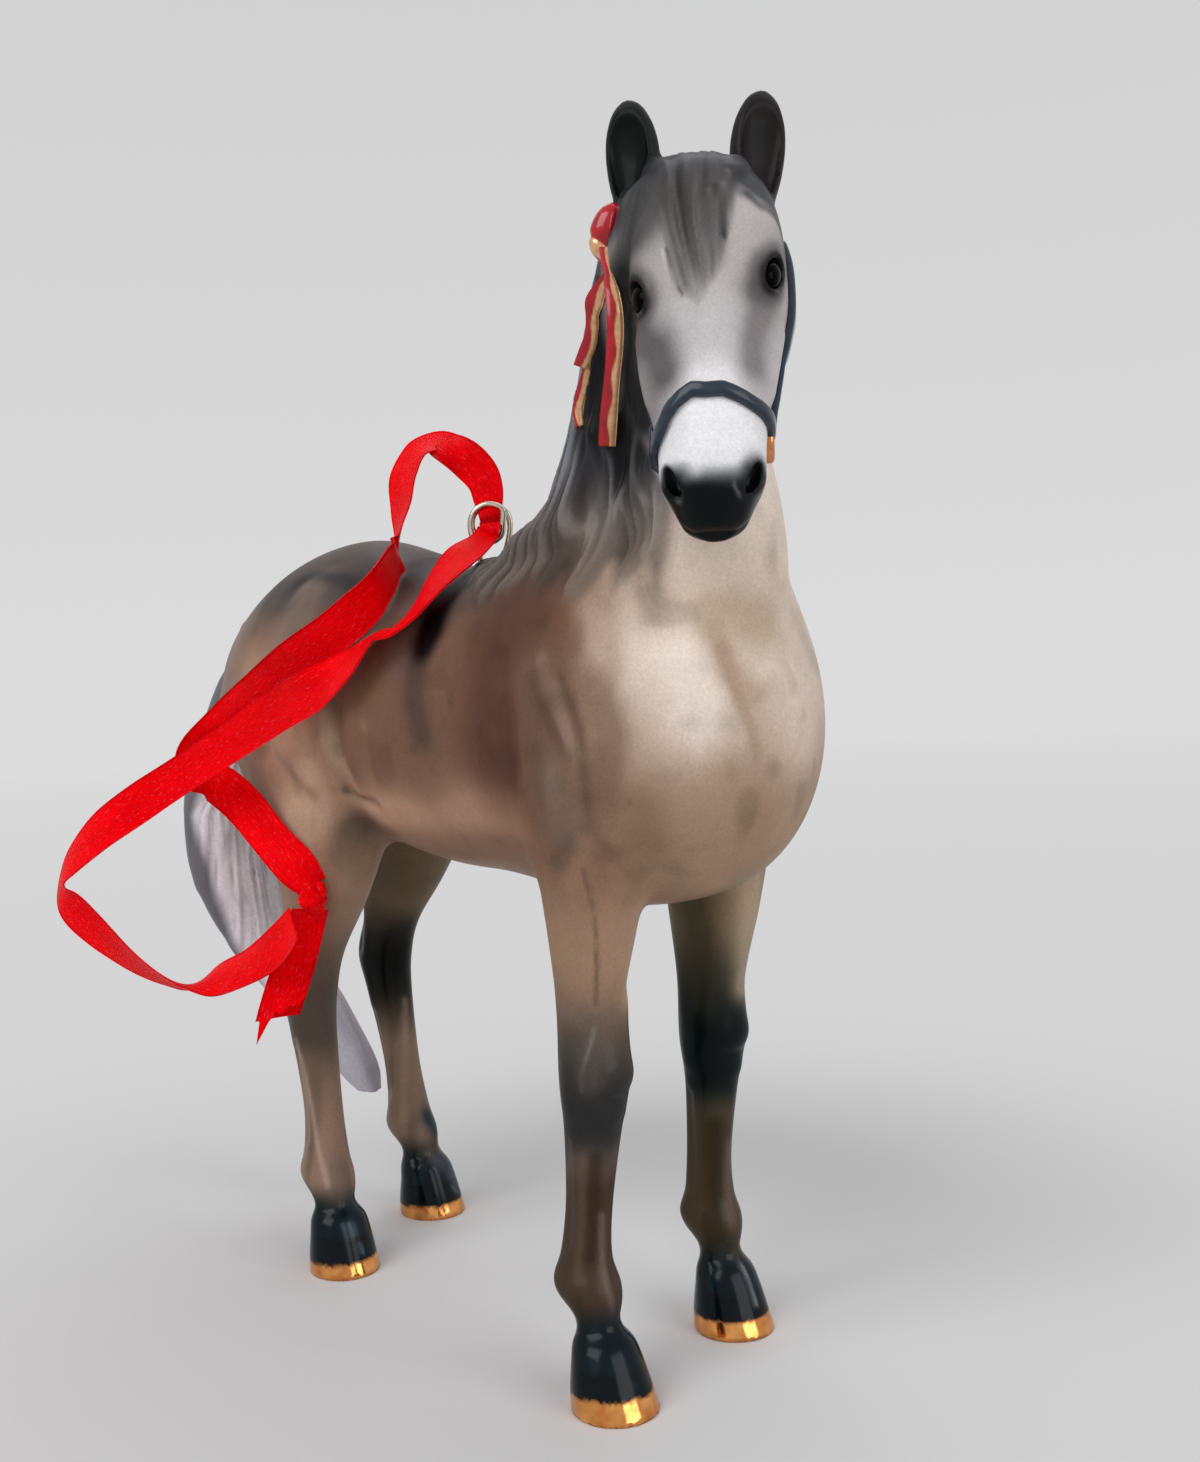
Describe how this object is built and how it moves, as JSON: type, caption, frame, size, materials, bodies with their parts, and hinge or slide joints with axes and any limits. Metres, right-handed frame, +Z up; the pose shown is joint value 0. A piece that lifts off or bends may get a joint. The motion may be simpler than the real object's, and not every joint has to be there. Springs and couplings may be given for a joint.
{
  "type": "porcelain horse ornament",
  "caption": "Standing porcelain horse ornament, head turned, moulded halter and mane ribbon, hung by a satin ribbon loop through a wire eye.",
  "frame": {"origin": "on the floor under the middle of the figure, its free ribbon left out", "axes": "+Z up from the soles, -Y the way the horse's body faces, +X to the horse's left"},
  "size_m": [0.033, 0.069, 0.0837],
  "materials": {
    "coat": "satin airbrushed glaze, taupe to grey",
    "face_white": "satin glaze, pale grey to white",
    "dark_hair": "satin glaze, dark grey",
    "tail_grey": "satin glaze, silver grey",
    "halter_slate": "gloss glaze",
    "crimson_glaze": "gloss glaze with gold edges",
    "gold_lustre": "fired gold lustre",
    "wire": "bright drawn wire",
    "cement": "matt",
    "satin": "woven satin"
  },
  "bodies": {
    "figure": {"body_casting": "coat", "neck_casting": "coat", "head_casting": "face_white", "foreleg_right": "coat", "foreleg_left": "coat", "hindleg_right": "coat", "hindleg_left": "coat", "ear_right": "dark_hair", "ear_left": "dark_hair", "mane_casting": "dark_hair", "forelock": "dark_hair", "tail_casting": "tail_grey", "halter_noseband": "halter_slate", "halter_cheek_strap_right": "halter_slate", "halter_cheek_strap_left": "halter_slate", "halter_crown_strap": "halter_slate", "halter_ring_right": "gold_lustre", "halter_ring_left": "gold_lustre", "mane_bow": "crimson_glaze", "mane_streamer_long": "crimson_glaze", "mane_streamer_short": "crimson_glaze", "tail_bow": "crimson_glaze", "hanger_wire": "wire", "hanger_plug": "cement"},
    "ribbon": {"ribbon_loop": "satin", "ribbon_knot": "satin", "ribbon_tail_front": "satin", "ribbon_tail_back": "satin"}
  },
  "joints": [
    {"name": "ribbon_swing", "type": "hinge", "parent": "figure", "child": "ribbon", "pos_m": [-0.0001, -0.00339, 0.0584], "axis": [0.6561, 0.7547, 0], "range_deg": [0, 115]}
  ]
}
